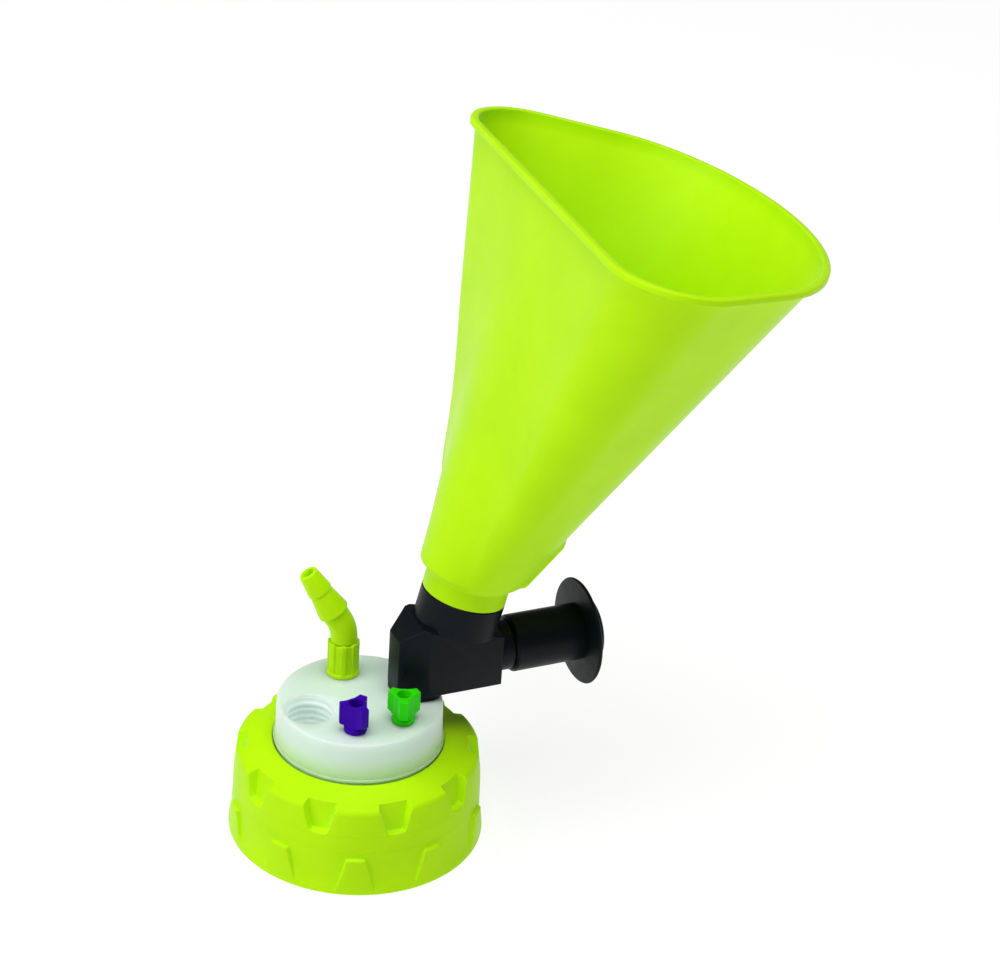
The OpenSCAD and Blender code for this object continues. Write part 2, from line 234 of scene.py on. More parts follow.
# ---------------------------------------------------------------- materials
class Shader:
    """One material's node tree, with short ways to add a node and to link two."""

    def __init__(self, name):
        self.material = bpy.data.materials.new(name)
        self.material.use_nodes = True
        self.tree = self.material.node_tree
        self.tree.nodes.clear()
        self.link = self.tree.links.new

    def add(self, kind, constants=None, **settings):
        """A new node, with its own settings and the constants of its input sockets."""
        made = self.tree.nodes.new("ShaderNode" + kind)
        for key, value in settings.items():
            setattr(made, key, value)
        for socket, value in (constants or {}).items():
            made.inputs[socket].default_value = value
        return made

    def noise(self, place, scale, detail):
        made = self.add("TexNoise", {"Scale": scale, "Detail": detail})
        self.link(place, made.inputs["Vector"])
        return made.outputs["Fac"]

    def remap(self, value, low, high, to_low, to_high, smooth=False):
        """The value carried from the range low..high to the range to_low..to_high."""
        made = self.add("MapRange", {"From Min": low, "From Max": high, "To Min": to_low, "To Max": to_high})
        if smooth:
            made.interpolation_type = "SMOOTHSTEP"
        self.link(value, made.inputs["Value"])
        return made.outputs["Result"]


def painted_foot_tint_and_port_glow(sh, place, colour, bsdf, painted_cap_light):
    """Painted light: the foot of the insert's outer wall is tinted with the cap's lime colour, standing in
    for the cap's light coming through it, and a painted emission round its open port stands in for light
    coming through the thin wall there.
    """
    split = sh.add("SeparateXYZ")
    sh.link(place, split.inputs["Vector"])
    # painted light: the cap's lime light is mixed into the base colour at the foot of the wall, fading out
    # upwards
    rise = sh.remap(split.outputs["Z"], 0.0305, 0.0385, 0.62, 0.0, smooth=True)
    flat = sh.add("VectorMath", {1: (1, 1, 0)}, operation="MULTIPLY")
    sh.link(place, flat.inputs[0])
    # only on the outer wall, not down in the ports
    size = sh.add("VectorMath", operation="LENGTH")
    sh.link(flat.outputs["Vector"], size.inputs[0])
    rim = sh.remap(size.outputs["Value"], 0.0236, 0.0242, 0.0, 1.0)
    both = sh.add("Math", operation="MULTIPLY")
    sh.link(rise, both.inputs[0])
    sh.link(rim, both.inputs[1])
    tint = sh.add("Mix", data_type="RGBA")
    sh.link(both.outputs["Value"], tint.inputs["Factor"])
    sh.link(colour, tint.inputs["A"])
    tint.inputs["B"].default_value = (*painted_cap_light, 1)
    sh.link(tint.outputs["Result"], bsdf.inputs["Base Color"])
    # painted light: an emission round the open port stands in for light coming through the thin wall there
    x, y = PORTS["vent"]
    port = sh.add("VectorMath", {1: (x * MM, y * MM, 0)}, operation="DISTANCE")
    sh.link(flat.outputs["Vector"], port.inputs[0])
    bsdf.inputs["Emission Color"].default_value = (0.85, 0.72, 1.0, 1)
    sh.link(sh.remap(port.outputs["Value"], 0.0074, 0.0081, 0.14, 0.0), bsdf.inputs["Emission Strength"])


def material(name, base, shade_colour, rough, bump=0.05, subsurface=0.0, radius=(0.004, 0.004, 0.001),
             specular=0.5, metal=0.0, grain=1500.0, turned=None, sheen=0.0, painted_cap_light=None):
    """Moulded plastic, rubber or metal: two colours mixed by slow noise, roughness from a middle noise,
    and a fine surface grain as bump."""
    mottle, patch, vary = 55.0, 0.35, 0.05
    sh = Shader(name)
    out = sh.add("OutputMaterial")
    bsdf = sh.add("BsdfPrincipled", {
        "Metallic": metal, "Specular IOR Level": specular, "Subsurface Weight": subsurface,
        "Subsurface Radius": radius, "Subsurface Scale": 1.0, "Sheen Weight": sheen, "Sheen Roughness": 0.25})
    sh.link(bsdf.outputs["BSDF"], out.inputs["Surface"])
    place = sh.add("TexCoord").outputs["Object"]

    ramp = sh.add("ValToRGB")
    dark, light = ramp.color_ramp.elements
    dark.position, dark.color = 0.5 - patch / 2, (*shade_colour, 1)
    light.position, light.color = 0.5 + patch / 2, (*base, 1)
    sh.link(sh.noise(place, mottle, 3.0), ramp.inputs["Fac"])
    # when given, this colour is painted lime light from the cap, tinted into the insert's foot, and a painted
    # emission is added round its open port
    if painted_cap_light is None:
        sh.link(ramp.outputs["Color"], bsdf.inputs["Base Color"])
    else:
        painted_foot_tint_and_port_glow(sh, place, ramp.outputs["Color"], bsdf, painted_cap_light)

    middle = sh.noise(place, mottle * 5, 5.0)
    sh.link(sh.remap(middle, 0.3, 0.7, max(0.02, rough - vary), rough + vary), bsdf.inputs["Roughness"])

    grain_place = place
    if turned is not None:
        stretch = sh.add("Mapping", {"Scale": turned})
        sh.link(place, stretch.inputs["Vector"])
        grain_place = stretch.outputs["Vector"]
    relief = sh.add("Bump", {"Strength": bump, "Distance": 0.0002})
    sh.link(sh.noise(grain_place, grain, 2.0), relief.inputs["Height"])
    sh.link(relief.outputs["Normal"], bsdf.inputs["Normal"])
    return sh.material


LIME = material("lime_plastic", (0.50, 0.90, 0.003), (0.47, 0.86, 0.0025), 0.40, bump=0.04,
                subsurface=0.10, radius=(0.003, 0.004, 0.001), specular=0.06, sheen=0.22)
LIME_CAP = material("lime_cap_plastic", (0.51, 0.91, 0.003), (0.47, 0.86, 0.0025), 0.45, bump=0.08,
                    subsurface=0.10, radius=(0.003, 0.004, 0.001), specular=0.06, sheen=0.18)
# the white insert carries painted light: a lime tint at its foot standing in for the cap's light, and a
# painted emission round its open port
WHITE = material("white_plastic", (0.70, 0.84, 0.76), (0.67, 0.81, 0.73), 0.36, bump=0.03,
                 subsurface=0.8, radius=(0.007, 0.008, 0.007), specular=0.3, sheen=0.1,
                 painted_cap_light=(0.50, 0.78, 0.26))
BLACK = material("black_plastic", (0.0040, 0.0064, 0.0098), (0.0034, 0.0053, 0.0082), 0.42, bump=0.10,
                 specular=0.11)
RUBBER = material("seal_rubber", (0.016, 0.016, 0.017), (0.01, 0.01, 0.011), 0.7, bump=0.12,
                  specular=0.3)
PURPLE = material("purple_plastic", (0.045, 0.0003, 0.40), (0.038, 0.0003, 0.35), 0.36, bump=0.04,
                  subsurface=0.05, radius=(0.001, 0.0005, 0.002), specular=0.05)
GREEN = material("green_plastic", (0.028, 0.72, 0.002), (0.024, 0.66, 0.002), 0.36, bump=0.04,
                 subsurface=0.05, radius=(0.001, 0.002, 0.0005), specular=0.06)
STEEL = material("rod_steel", (0.58, 0.58, 0.6), (0.5, 0.5, 0.52), 0.3, bump=0.12, metal=1.0,
                 grain=900.0, turned=(6.0, 0.6, 0.6))


# ---------------------------------------------------------------- screw cap
SECTORS = 10                        # notches in the upper row, and pads in the lower row
FIRST_NOTCH = 267                   # plan direction of one notch, in degrees
MEAN_R = 36.4                       # radius at which widths along the wall are measured
HALF_SECTOR = pi / SECTORS * MEAN_R
# the wall as (radius, height), then its upper edge and the top's inner edge
CAP_WALL = [(38.4, 0), (38.3, 1.2), (37.75, 3.5), (37.4, 6), (37.25, 9), (37.15, 14.1), (36.95, 19.5),
            (36.3, 26.6)]
CAP_EDGE = (35.5, 27.6)
CAP_TOP = (25.6, 30.3)
GROOVES = (14.1, 19.5)              # heights of two faint lines round the wall
GROOVE_DEPTH = 0.05
# a notch: where it starts, where it runs out on the top, its half widths there and its floor
NOTCH_Z, NOTCH_END = 19.9, 28.28
NOTCH_HALF, NOTCH_HALF_END = 2.6, 5.1
NOTCH_FLOOR, NOTCH_FLOOR_END = 34.95, 33.0
NOTCH_LEAN = 0.233                  # how fast the floor draws in with height
# a pad: its top, its half widths at the foot and at the top, and its face's radius
PAD_Z = 12.2
PAD_HALF, PAD_HALF_TOP = 5.75, 2.7
PAD_R = 38.36
# heights of the wall's rows, close together where the notches, the pads and the grooves turn
WALL_ROWS = [0.0, 0.3, 0.7, 1.2, 2.0, 3.0, 4.2, 5.5, 7.0, 8.5, 10.0, 11.2, 11.6, 11.8, 11.95, 12.1, 12.25,
             12.4, 12.6, 13.0, 13.9, 14.0, 14.1, 14.2, 14.3, 15.5, 17.0, 18.2, 18.9, 19.15, 19.3, 19.4,
             19.5, 19.6, 19.75, 19.9, 20.05, 20.2, 20.4, 20.7, 21.1, 22.0, 23.2, 24.5, 25.6, 26.3, 26.7]
TOP_ROWS = [34.6, 34.0, 33.4, 33.15, 32.85, 32.5, 31.0, 29.0, 27.5, 26.4, 26.1]
SIDE_STEPS = (-0.25, -0.12, 0.0, 0.12, 0.25)
# the canister's thread: its root and crest radii, and where it ends
THREAD_ROOT, THREAD_DEPTH, THREAD_PITCH, THREAD_TOP = 31.15, 0.95, 4.0, 20.0


def smooth_radius(points, height):
    """The radius at a height, on a smooth cubic through (radius, height) points."""
    t = np.array([p[1] for p in points], float)
    v = np.array([p[0] for p in points], float)
    d = np.gradient(v, t)
    height = min(max(height, t[0]), t[-1])
    i = min(max(int(np.searchsorted(t, height, side="right")) - 1, 0), len(t) - 2)
    h = t[i + 1] - t[i]
    u = (height - t[i]) / h
    return float((2 * u**3 - 3 * u**2 + 1) * v[i] + (u**3 - 2 * u**2 + u) * h * d[i]
                 + (-2 * u**3 + 3 * u**2) * v[i + 1] + (u**3 - u**2) * h * d[i + 1])


def cap_rows():
    """Rows up the cap's outside: a point on the plain skin, and the point below it on a notch's floor."""
    out = []
    for z in WALL_ROWS:
        r = smooth_radius(CAP_WALL, z) - (GROOVE_DEPTH if z in GROOVES else 0.0)
        floor_z = z
        if z >= NOTCH_Z:
            floor_z = NOTCH_Z + (min(z, 27.9) - NOTCH_Z) * (NOTCH_END - NOTCH_Z) / 8.0
        out.append(((r, z), (NOTCH_FLOOR - (floor_z - NOTCH_Z) * NOTCH_LEAN, floor_z)))
    edge = fillet([(36.3, 26.6), CAP_EDGE, (NOTCH_FLOOR_END, NOTCH_END)], [0, 1.1, 0], 5, closed=False)[1:-1]
    for f, point in zip(np.linspace(0, 1, len(edge)), edge):
        out.append((point, (33.05 - 0.05 * f, 28.0 + 0.28 * f)))
    slope = (CAP_TOP[1] - CAP_EDGE[1]) / (CAP_EDGE[0] - CAP_TOP[0])
    top = [(r, CAP_EDGE[1] + (CAP_EDGE[0] - r) * slope) for r in TOP_ROWS]
    top += fillet([(28.0, 29.65), CAP_TOP, (25.6, 28.0)], [0, 0.45, 0], 3, closed=False)[1:-1]
    out += [(p, (min(p[0], NOTCH_FLOOR_END), max(p[1], NOTCH_END))) for p in top]
    return out


def cap_columns(notch, pad):
    """Distances along the wall from a notch's middle to the next one's, close together where the sides of
    the notch and the pad turn. notch and pad are the two half widths."""
    side = 0.42
    edge = HALF_SECTOR - pad
    offs = [0, 0.45 * notch, 0.8 * notch, notch - 0.4]
    offs += [notch + o for o in (*SIDE_STEPS, side)]
    offs += [side * (1 - 2 * f) + (1 - f) * notch + f * edge for f in (0.3, 0.55, 0.8)]
    offs += [edge + o for o in (-side, *SIDE_STEPS, side)]
    offs += [edge + side + (pad - side) * f for f in (0.4, 0.75, 1.0)]
    offs = np.array(offs)
    return np.concatenate([offs, (2 * HALF_SECTOR - offs[-2::-1])[:-1]])


def inset(across, along, r):
    """How far a point is inside the corner of two sides, where the corner is rounded with radius r."""
    rounded = r - np.hypot(r - np.minimum(across, r), r - np.minimum(along, r))
    return np.where((across < r) & (along < r), rounded, np.minimum(across, along))


def make_cap():
    grid = []
    for (wall_r, wall_z), (floor_r, floor_z) in cap_rows():
        height = min(wall_z, NOTCH_END)
        up = max(0.0, (height - NOTCH_Z) / (NOTCH_END - NOTCH_Z))
        notch = NOTCH_HALF + (NOTCH_HALF_END - NOTCH_HALF) * up
        pad = PAD_HALF + (PAD_HALF_TOP - PAD_HALF) * min(1.0, height / PAD_Z)
        columns = cap_columns(notch, pad)
        from_middle = np.minimum(columns, 2 * HALF_SECTOR - columns)
        # 0.96 and 0.97 turn a width along the wall into a distance from the sloped side
        cut = step(inset((notch - from_middle) * 0.96, wall_z - NOTCH_Z, 0.9), 0.28)
        lift = step(inset((pad - HALF_SECTOR + from_middle) * 0.97, PAD_Z - wall_z, 0.6), 0.3)
        r = wall_r * (1 - cut) + floor_r * cut + lift * max(0.0, PAD_R - wall_r)
        z = wall_z * (1 - cut) + floor_z * cut
        angles = np.concatenate([radians(FIRST_NOTCH + 360 / SECTORS * k) + columns / MEAN_R
                                 for k in range(SECTORS)])
        grid.append(turn_ring(np.tile(r, SECTORS), angles, np.tile(z, SECTORS)))
        if len(grid) == 1:
            foot_angles = angles
    # the hole's edge, the recess for the insert's flange and the shoulder above the thread
    for r, z in [(25.6, 29.0), (25.6, 27.6), (25.9, 27.3), (28.0, 27.3), (29.5, 27.3), (29.8, 27.0),
                 (29.8, 24.5), (29.8, 22.1), (29.5, 21.8), (28.9, 21.8), (28.6, 21.5), (28.6, 21.2),
                 (28.8, 21.0), (30.2, 20.8), (31.15, 20.4)]:
        grid.append(turn_ring(r, foot_angles, z))
    for z in np.arange(THREAD_TOP, 0.9, -0.4):
        fade = max(0.0, min(1.0, (THREAD_TOP - z) / 1.2, (z - 1.2) / 1.6))
        crest = thread(z, foot_angles, THREAD_PITCH, 0.26, 0.12)
        grid.append(turn_ring(THREAD_ROOT - THREAD_DEPTH * crest * fade, foot_angles, z))
    for r, z in [(31.2, 0.7), (31.5, 0.25), (31.9, 0.0), (34.0, 0.0), (37.9, 0.0)]:
        grid.append(turn_ring(r, foot_angles, z))
    # the foot's outer edge is slightly rounded
    grid[0][:, 2] = 0.12
    put(skin("grip_cap", grid, 42.0), "cap", ["screw_cap"], LIME_CAP)


# ---------------------------------------------------------------- port insert
def seat(name, key, bore, wide, edge_z, mouth):
    """The cutter for a port: a narrow bore, a wider seat and a small chamfer at the top."""
    return cutter(name, *PORTS[key], [(bore, 30), (bore, 34.0), (wide, 34.0), (wide, edge_z),
                                      (mouth, 43.1), (mouth, 44)])


def make_insert():
    outline = [(20.4, 31.0), (20.4, 24.3), (29.4, 24.3), (29.4, 27.2), (24.95, 27.2), (24.95, 30.35),
               (25.5, 30.4), (25.45, 31.1), (24.98, 31.35), (24.6, 43.0), (AXIS, 43.0), (AXIS, 31.0)]
    radii = [0.5, 0.3, 0.4, 0.4, 0.1, 0.1, 0.3, 0.3, 0.25, 0.7, 0, 0]
    body = lathe("insert", fillet(outline, radii, 5), 200, sharp=30)

    crest_r, root_r, turns = 6.6, 7.35, 72
    angles = full_turn(turns)
    vent = [(crest_r, 30.3)]
    vent += [(crest_r + (root_r - crest_r) * thread(z, angles, 2.1, 0.27, 0.13), z)
             for z in np.arange(31.3, 41.6 + 1e-6, 0.14)]
    # the stepped lip at the top
    vent += [(7.35, 41.75), (7.4, 42.1), (7.55, 42.25), (7.62, 42.7), (7.8, 42.92), (8.1, 43.02), (8.2, 44)]
    tools = [
        cutter("c1", *PORTS["vent"], vent, turns),
        seat("c2", "elbow", 2.0, 3.95, 42.8, 4.2),
        seat("c3", "purple", 1.3, 3.15, 42.85, 3.3),
        seat("c4", "green", 1.3, 3.15, 42.85, 3.3),
        cutter("c5", OUTLET_X, 0.0, [(5.4, 20), (5.4, 41.9), (6.15, 41.9), (6.15, 44)]),
    ]
    for tool in tools:
        boolean(body, tool)
    shade(body, 30)
    put(body, "head", ["port_insert"], WHITE)


# ---------------------------------------------------------------- hose elbow
def make_elbow_nut():
    """A spigot, a round foot, and eight narrow ribs that run up into a notched crown."""
    angles = full_turn(192)
    spacing, rib_half = radians(45), radians(10.5)
    to_gap = (angles - ELBOW_HEADING) % spacing - spacing / 2
    rib = step(rib_half - np.abs(np.abs(to_gap) - spacing / 2), radians(2.2))
    wall = 4.42 + 0.36 * rib
    shoulder = 54.15
    crown = shoulder + 0.45 * rib
    rows = [(2.0, 34.2), (3.6, 34.2), (3.9, 34.5), (3.9, 42.9), (3.9, SEAT_Z), (4.7, SEAT_Z),
            (4.95, 43.25), (4.97, 43.9), (4.85, 44.2), (wall, 44.45), (wall, 46.0), (wall, 49.0),
            (wall, 52.5), (wall, crown - 0.35), (wall - 0.1, crown - 0.1), (wall - 0.35, crown),
            (wall - 0.55, crown), (3.6, shoulder), (3.3, shoulder), (3.15, 54.05), (3.15, 47.2),
            (3.15, 47.0), (2.0, 47.0)]
    nut = skin("elbow_nut_body", [turn_ring(r, angles, z) for r, z in rows], 30, at(*PORTS["elbow"]))
    put(nut, "head", ["elbow_nut"], LIME)


def make_elbow_pipe():
    """A stem, a smooth bend and two stepped barbs, as one skin with its bore."""
    start = np.array([*PORTS["elbow"], 55.5])
    up = np.array([0.0, 0.0, 1.0])
    side = np.array([-sin(ELBOW_HEADING), cos(ELBOW_HEADING), 0.0])
    ahead = np.array([cos(ELBOW_HEADING), sin(ELBOW_HEADING), 0.0])
    bend, bend_r = radians(31.5), 12.0
    pipe_r, bore_r, stem = 4.05, 1.75, 8.2
    end = bend_r * bend

    def spine(s):
        """Point and direction at a distance s along the pipe from the bend's start."""
        if s <= 0:
            return start + up * s, up
        t = min(s / bend_r, bend)
        p = start + ahead * bend_r * (1 - cos(t)) + up * bend_r * sin(t)
        d = ahead * sin(t) + up * cos(t)
        return p + d * max(0.0, s - end), d

    # (distance along the spine, radius): the stem with its ring groove, the bend, the barbs, the bore
    rows = [(-stem, 2.9), (-8.0, 3.1), (-6.45, 3.1), (-6.4, 2.3), (-5.6, 2.3), (-5.55, 3.1), (-0.95, 3.1),
            (-0.9, pipe_r), (0.0, pipe_r)]
    rows += [(end * f, pipe_r) for f in np.linspace(0.08, 1.0, 14)]
    barbs = [(1.6, pipe_r), (2.4, 4.1), (3.1, 4.85), (10.6, 3.52), (11.2, 3.82), (17.9, 2.9), (18.3, 2.55)]
    rows += fillet([(end + s, r) for s, r in barbs], [0, 0.4, 0.45, 0.5, 0.35, 0.4, 0], 4, closed=False)
    rows += [(end + 18.3, 2.2), (end + 18.15, 1.9), (end + 17.8, bore_r)]
    rows += [((end + 17.8) * (1 - f) - 0.01, bore_r) for f in np.linspace(0.1, 1.0, 22)]
    rows += [(-4.0, bore_r), (-8.0, bore_r), (-stem, 1.95)]
    angles = full_turn(64)
    grid = []
    for s, r in rows:
        p, d = spine(s)
        u = np.cross(side, d)
        grid.append(p + r * (np.cos(angles)[:, None] * u + np.sin(angles)[:, None] * side))
    put(skin("elbow_pipe", grid, 35), "elbow", ["hose_barb"], LIME)


# ---------------------------------------------------------------- winged fittings
def make_fitting(key, turn, mat):
    """A three-winged nut: round hollows between the wings, and a flat across each wing's tip."""
    wing_r, waist_r, tip_flat = 5.0, 2.95, 4.86
    hollow_r, hollow_at = 10.6, 13.4
    # angles from a wing's middle, close together at its tip and its corners
    tip = [-16, -13.6, -13.2, -12.4, -8, 0, 8, 12.4, 13.2, 13.6, 16]
    between = [19, 24, 30, 37, 44, 51, 55, 58, 60, 62, 65, 69, 76, 83, 90, 96, 101]
    degrees = np.array([t + 120 * k for k in range(3) for t in tip + between], float)
    from_hollow = np.radians(degrees % 120 - 60)
    from_tip = (degrees + 60) % 120 - 60
    chord = hollow_r**2 - (hollow_at * np.sin(from_hollow))**2
    scoop = np.where(chord > 0, hollow_at * np.cos(from_hollow) - np.sqrt(np.maximum(chord, 0)), 9.0)
    wing = np.clip(scoop, waist_r, wing_r)
    flat = np.minimum(wing, tip_flat / np.cos(np.radians(from_tip)))
    wing = np.where(np.abs(from_tip) < 14.5, flat, wing)

    def below(r):
        """The wings' outline, no wider than r."""
        return np.minimum(wing, r)

    # (radius, height above the insert): spigot, round foot, the wings' underside, the wings, the bore
    rows = [(1.0, -6.05), (2.8, -6.05), (3.1, -5.75), (3.1, -0.15), (3.1, 0.0),
            (3.25, 0.0), (3.4, 0.15), (3.4, 1.25), (3.28, 1.5), (3.0, 1.62), (waist_r, 1.8),
            (below(3.15), 2.1), (below(3.7), 2.35), (below(4.55), 2.75), (below(4.8), 2.95),
            (wing, 3.2), (wing, 5.5), (wing, 8.9), (wing - 0.07, 9.1), (wing - 0.22, 9.2),
            (2.45 + (wing - 2.45) * 0.35, 9.2), (2.3, 9.2), (2.16, 9.12), (2.08, 8.9),
            (2.05, 5.2), (1.9, 4.75), (1.1, 4.6), (1.0, 4.5)]
    angles = np.radians(degrees + turn)
    rings = [turn_ring(r, angles, SEAT_Z + h) for r, h in rows]
    nut = skin(key + "_nut_body", rings, 32, at(*PORTS[key]))
    put(nut, key + "_nut", [key + "_fitting"], mat)


# ---------------------------------------------------------------- slide valve
def clip_corners(block):
    """Cuts the two upright corners off the block's front end."""
    bm = bmesh.new()
    bm.from_mesh(block.data)
    for side in (-1, 1):
        normal = Vector((-3.9, side * 6.2, 0)).normalized()
        corner = Vector((BLOCK_FRONT, side * 4.0, 50)) * MM
        cut = bmesh.ops.bisect_plane(bm, geom=[*bm.verts, *bm.edges, *bm.faces], plane_co=corner,
                                     plane_no=normal, clear_outer=True)
        edges = [e for e in cut["geom_cut"] if isinstance(e, bmesh.types.BMEdge)]
        bmesh.ops.edgeloop_fill(bm, edges=edges)
    bmesh.ops.recalc_face_normals(bm, faces=bm.faces)
    bm.to_mesh(block.data)
    bm.free()


def rod_shape(r, low, high):
    """The outline of a plain round bar."""
    return [(AXIS, low), (r, low), (r, high), (AXIS, high)]


def make_block():
    profile = [(BLOCK_FRONT, 45.1), (BLOCK_END, 45.1), (BLOCK_END, 61.9), (16.3, 67.9), (BLOCK_FRONT, 62.8)]
    block = prism("valve_body", profile, (-9.0, 9.0), lambda p, q, d: (p, d, q))
    clip_corners(block)
    bevel(block, 0.4, 3)

    corner_r, corner_x, corner_y = 4.45, 19.9, 3.45
    plan = [(10.25, -3.98), (16.35, -7.8), (corner_x, -7.9)]
    plan += [(corner_x + corner_r * sin(t), -corner_y - corner_r * cos(t))
             for t in np.linspace(0.12, pi / 2, 10)]
    plan += [(p, -q) for p, q in reversed(plan)]
    foot = prism("f", plan, (SEAT_Z, 46.0), lambda p, q, d: (p, q, d))
    bevel(foot, 0.15, 2)
    boolean(block, foot, "UNION")
    neck = [(AXIS, -10.1), (12.7, -10.1), (12.7, -0.35), (12.35, 0.0), (AXIS, 0.0)]
    boolean(block, lathe("n", neck, 128, place=on_neck), "UNION")
    boss = [(AXIS, -1.0), (6.5, -1.0), (6.5, 2.1), (6.3, 2.3), (AXIS, 2.3)]
    boolean(block, lathe("b", boss, 64, place=along_x(BLOCK_END)), "UNION")

    # the slide's bore, the outlet, the funnel's seat and the slanted passage between them
    boolean(block, lathe("c", rod_shape(5.25, 0, 40), 64, place=along_x(11.8)))
    boolean(block, cutter("c", OUTLET_X, 0, [(5.4, 42.0), (5.4, 47.05), (4.2, 47.05), (4.2, SLIDE_Z)]))
    boolean(block, lathe("c", rod_shape(9.6, -8.6, 1), 96, place=on_neck))
    passage = lathe("c", rod_shape(4.0, 0, 14.5), 64,
                    place=lambda v: tilt(v, radians(29.4), (0, 1, 0)) + np.array([21.5, 0, SLIDE_Z]))
    boolean(block, passage)
    shade(block, 32)
    put(block, "head", ["valve_block"], BLACK)


def make_plunger():
    """The gland nut on the block's end, and the sleeve, flange, disc and rod that slide through it."""
    gland = fillet([(3.05, 4.9), (3.05, 3.35), (4.4, 3.3), (4.4, 2.45), (6.55, 2.4), (6.55, 0.05),
                    (7.7, 0.05), (7.7, 4.9)], [0.2, 0.05, 0.1, 0.1, 0.1, 0.1, 0.35, 0.4], 4)
    put(lathe("gland_ring", gland, 96, place=along_x(BLOCK_END)), "head", ["gland_nut"],
        BLACK)
    sleeve = fillet([(3.05, 22.75), (3.05, 19.25), (5.6, 19.25), (5.6, 0.0), (8.0, 0.0), (8.7, 0.75),
                     (8.7, 22.75)], [0.1, 0.2, 0.2, 0.3, 0.3, 0.5, 0.1], 5)
    put(lathe("sleeve", sleeve, 112, place=along_x(46.75)), "plunger", ["grip_sleeve"],
        BLACK)
    flange = fillet([(1.6, 0.0), (9.6, 0.0), (16.1, 0.5), (16.5, 1.0), (16.0, 1.65), (11.3, 2.5),
                     (1.6, 2.5)], [0.1, 0.6, 0.3, 0.35, 0.4, 0.5, 0.1], 5)
    put(lathe("flange", flange, 160, place=along_x(69.55)), "plunger", ["knob"], BLACK)
    disc = fillet([(AXIS, 2.6), (9.8, 2.6), (10.45, 1.9), (10.45, 0.0), (3.2, 0.0), (3.2, 1.75),
                   (AXIS, 1.75)], [0, 0.6, 0.5, 0.2, 0.2, 0.2, 0], 5)
    put(lathe("flange_disc", disc, 128, place=along_x(72.1)), "plunger", ["knob_cap"],
        BLACK)
    rod = fillet([(AXIS, 0.0), (1.95, 0.0), (1.95, 5.85), (3.0, 5.85), (3.0, 45.45), (1.5, 45.45),
                  (1.5, 37.5), (AXIS, 37.5)], [0, 0.3, 0.05, 0.2, 0.3, 0.1, 0.1, 0], 4)
    put(lathe("rod", rod, 64, place=along_x(24.0)), "plunger", ["piston_rod"], STEEL)


# ---------------------------------------------------------------- funnel
def mouth_outline(count):
    """Points and outward normals of the mouth, evenly spaced: a wide arc hulled with two corner circles."""
    arc_c, arc_a, arc_b = 21.2, 42.9, 63.7
    cx, cy, cr = 4.85, 53.55, 18.0
    pts = []
    for t in np.linspace(0, pi, 1201):
        h = sqrt((arc_a * cos(t))**2 + (arc_b * sin(t))**2)
        if t < pi / 2 and arc_c * cos(t) + h > cx * cos(t) + cy * sin(t) + cr:
            p = (arc_c + arc_a**2 * cos(t) / h, arc_b**2 * sin(t) / h)
        else:
            p = (cx + cr * cos(t), cy + cr * sin(t))
        pts.append((*p, cos(t), sin(t)))
    pts = np.array(pts)
    flat = np.array([(cx - cr, cy * f, -1, 0) for f in np.linspace(1, -1, 61)[1:-1]])
    low = pts[-2:0:-1] * np.array([1, -1, 1, -1])
    loop = np.vstack([pts, flat, low, pts[:1]])
    s = np.concatenate([[0], np.cumsum(np.hypot(*np.diff(loop[:, :2], axis=0).T))])
    t = np.linspace(0, s[-1], count, endpoint=False)
    out = np.stack([np.interp(t, s, loop[:, i]) for i in range(4)], 1)
    out[:, 2:] /= np.hypot(out[:, 2], out[:, 3])[:, None]
    return out


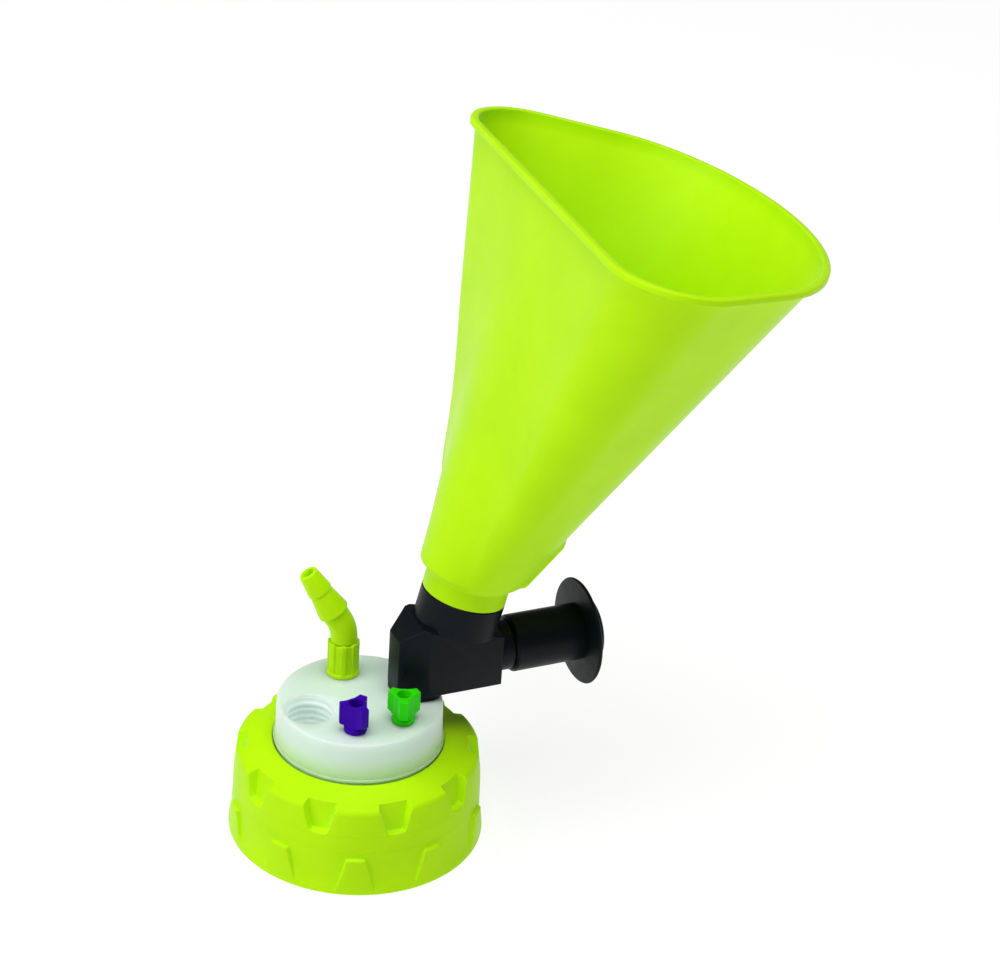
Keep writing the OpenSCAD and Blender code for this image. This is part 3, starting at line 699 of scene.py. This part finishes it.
def make_funnel():
    count = 288
    slope, dist = radians(10.94), 126.85     # of the mouth's plane, seen from the neck
    turned = radians(-4.3)                   # the funnel's turn on its own thread
    bead_r, under = 2.45, 1.2                # how far the bead stands out, and where its underside starts
    foot_z, outer_r, inner_r = 8.0, 15.6, 13.8
    o = mouth_outline(count)
    polar = np.arctan2(o[:, 1], o[:, 0] - 11.3)

    def mouth(g, drop):
        """The mouth's outline moved out by g, at a drop below its plane."""
        u, v = o[:, 0] + g * o[:, 2], o[:, 1] + g * o[:, 3]
        return np.stack([dist * sin(LEAN) + u * cos(slope) - drop * sin(slope), v,
                         dist * cos(LEAN) - u * sin(slope) - drop * cos(slope)], 1)

    def ring(r, s):
        """A circle about the neck's axis, s above the neck's mouth."""
        return tilt(turn_ring(r, polar, s), LEAN, (0, 1, 0))

    # the wall stands further in under the bead on the near right than on the far left
    far_left = o[:, 2] * -0.91 + o[:, 3] * 0.41
    wall = 0.4 + 0.25 * far_left
    swell = np.exp(-(np.arccos(np.clip(far_left, -1, 1)) / 0.42)**2)

    spout = fillet([(7.4, -7.5), (9.55, -7.5), (9.55, 0.05), (12.7, 0.05), (12.7, 5.6), (15.4, foot_z)],
                   [0.3, 0.5, 0.1, 0.25, 0.5, 0.0], 4, closed=False)
    rows = [ring(r, s) for r, s in spout]

    # outside, from the foot (q = 0) to the mouth (q = 1)
    low, high = ring(outer_r, foot_z), mouth(wall, 2.1)
    outwards = mouth(wall + 1.0, 2.1) - high
    pad_way = np.stack([0.85 * np.cos(polar), 0.85 * np.sin(polar), np.full(count, -0.5)], 1)
    pad_half, pad_low, pad_high, pad_height = radians(44), 1.0, 18.6, 1.3
    for q in np.concatenate([np.linspace(0.003, 0.03, 4), np.linspace(0.04, 0.22, 22),
                             np.linspace(0.26, 0.97, 24), [0.99, 1.0]]):
        bulge = 1.05 * exp(-((q - 0.2) / 0.09)**2) - 0.5 * exp(-((q - 0.42) / 0.11)**2)
        p = low * (1 - q) + high * q + outwards * (bulge * swell)[:, None]
        # a shallow pad on the back, low down
        s = q * 120.0
        pad = step(pad_half - np.abs(polar), 0.035) * step(s - pad_low, 0.8) * step(pad_high - s, 1.6)
        rows.append(p + pad_way * (pad_height * pad)[:, None])

    bead = fillet([(under, 2.6), (under, 2.15), (bead_r, 2.05), (bead_r, 0.0), (0.0, 0.0), (0.0, 2.5)],
                  [0, 0.1, 0.35, 0.6, 0.5, 0], 6, closed=False)[1:-1]
    for g, drop in bead:
        if g >= under:
            g = wall + (g - under) * (bead_r - wall) / (bead_r - under)
        rows.append(mouth(g, drop))

    # inside, back down to the throat
    low, high = ring(inner_r, foot_z), mouth(wall - 0.95, 3.2)
    for q in np.concatenate([[1.0, 0.99], np.linspace(0.97, 0.26, 24), np.linspace(0.22, 0.0, 14)]):
        rows.append(low * (1 - q) + high * q)
    throat = fillet([(inner_r, foot_z), (12.8, 6.6), (7.4, 3.0), (7.4, -7.3)], [0, 2.0, 1.5, 0], 5,
                    closed=False)
    rows += [ring(r, s) for r, s in throat[1:]]
    up_the_lean = (sin(LEAN), 0, cos(LEAN))
    shell = skin("funnel_shell", rows, 34, lambda v: tilt(v, turned, up_the_lean) + NECK)
    put(shell, "head", ["funnel"], LIME)


# ---------------------------------------------------------------- build
make_cap()
make_insert()
make_elbow_nut()
make_elbow_pipe()
make_fitting("purple", 283, PURPLE)
make_fitting("green", 248, GREEN)
make_block()
make_plunger()
make_funnel()

# hidden pieces that keep their CAD meshes
CARRIED = {"cap_gasket": RUBBER, "elbow_o_ring": RUBBER, "purple_ferrule": WHITE, "green_ferrule": WHITE,
           "outlet_nipple": BLACK, "outlet_seal": RUBBER, "rod_seal": RUBBER, "piston": BLACK,
           "piston_o_ring_front": RUBBER, "piston_o_ring_rear": RUBBER, "knob_screw": STEEL,
           "funnel_seal": RUBBER}
for node, mat in CARRIED.items():
    NODES[node].data.materials.clear()
    NODES[node].data.materials.append(mat)


# ---------------------------------------------------------------- floor, light and camera, in metres
def floor_material():
    """A pale floor that gives off a little light of its own, so that it stays white in the shade."""
    m = bpy.data.materials.new("pale_floor")
    m.use_nodes = True
    bsdf = m.node_tree.nodes["Principled BSDF"]
    bsdf.inputs["Base Color"].default_value = (0.25, 0.25, 0.25, 1)
    bsdf.inputs["Roughness"].default_value = 0.9
    bsdf.inputs["Specular IOR Level"].default_value = 0.0
    bsdf.inputs["Emission Color"].default_value = (1, 1, 1, 1)
    bsdf.inputs["Emission Strength"].default_value = 0.84
    return m


def make_floor():
    half, z = 4.0, -0.0003
    me = bpy.data.meshes.new("floor")
    corners = [(-half, -half, z), (half, -half, z), (half, half, z), (-half, half, z)]
    me.from_pydata(corners, [], [(0, 1, 2, 3)])
    floor = bpy.data.objects.new("floor", me)
    scene.collection.objects.link(floor)
    floor.data.materials.append(floor_material())


def area_light(name, place, target, size, power):
    light = bpy.data.lights.new(name, "AREA")
    light.shape = "SQUARE"
    light.size = size
    light.energy = power
    ob = bpy.data.objects.new(name, light)
    scene.collection.objects.link(ob)
    ob.location = place
    ob.rotation_euler = (Vector(target) - Vector(place)).to_track_quat("-Z", "Y").to_euler()


def make_camera():
    cam = bpy.data.cameras.new("camera")
    cam.sensor_fit = "HORIZONTAL"
    cam.sensor_width = 36.0
    cam.lens = 93.4632
    cam.clip_start = 0.01
    cam.clip_end = 50.0
    rig = bpy.data.objects.new("camera", cam)
    scene.collection.objects.link(rig)
    # how far it stands round to the left of -Y, how far above level, and its roll
    azimuth, elevation, roll = radians(25.3262), radians(28.3491), radians(3.8388)
    rig.matrix_world = (Matrix.Translation(Vector((-0.2421373, -0.5980741, 0.4673268)))
                        @ Matrix.Rotation(-azimuth, 4, "Z")
                        @ Matrix.Rotation(pi / 2 - elevation, 4, "X")
                        @ Matrix.Rotation(roll, 4, "Z"))
    scene.camera = rig


make_floor()
world = bpy.data.worlds.new("studio")
scene.world = world
world.use_nodes = True
background = world.node_tree.nodes["Background"]
background.inputs["Color"].default_value = (1, 1, 1, 1)
background.inputs["Strength"].default_value = 0.14
area_light("key", (-1.2, 0.05, 0.95), (0, 0, 0.1), 0.9, 10.0)
area_light("top", (-0.05, -0.3, 1.7), (0, 0, 0.05), 1.1, 19.5)
make_camera()
scene.view_settings.view_transform = "Standard"

bpy.context.view_layer.update()
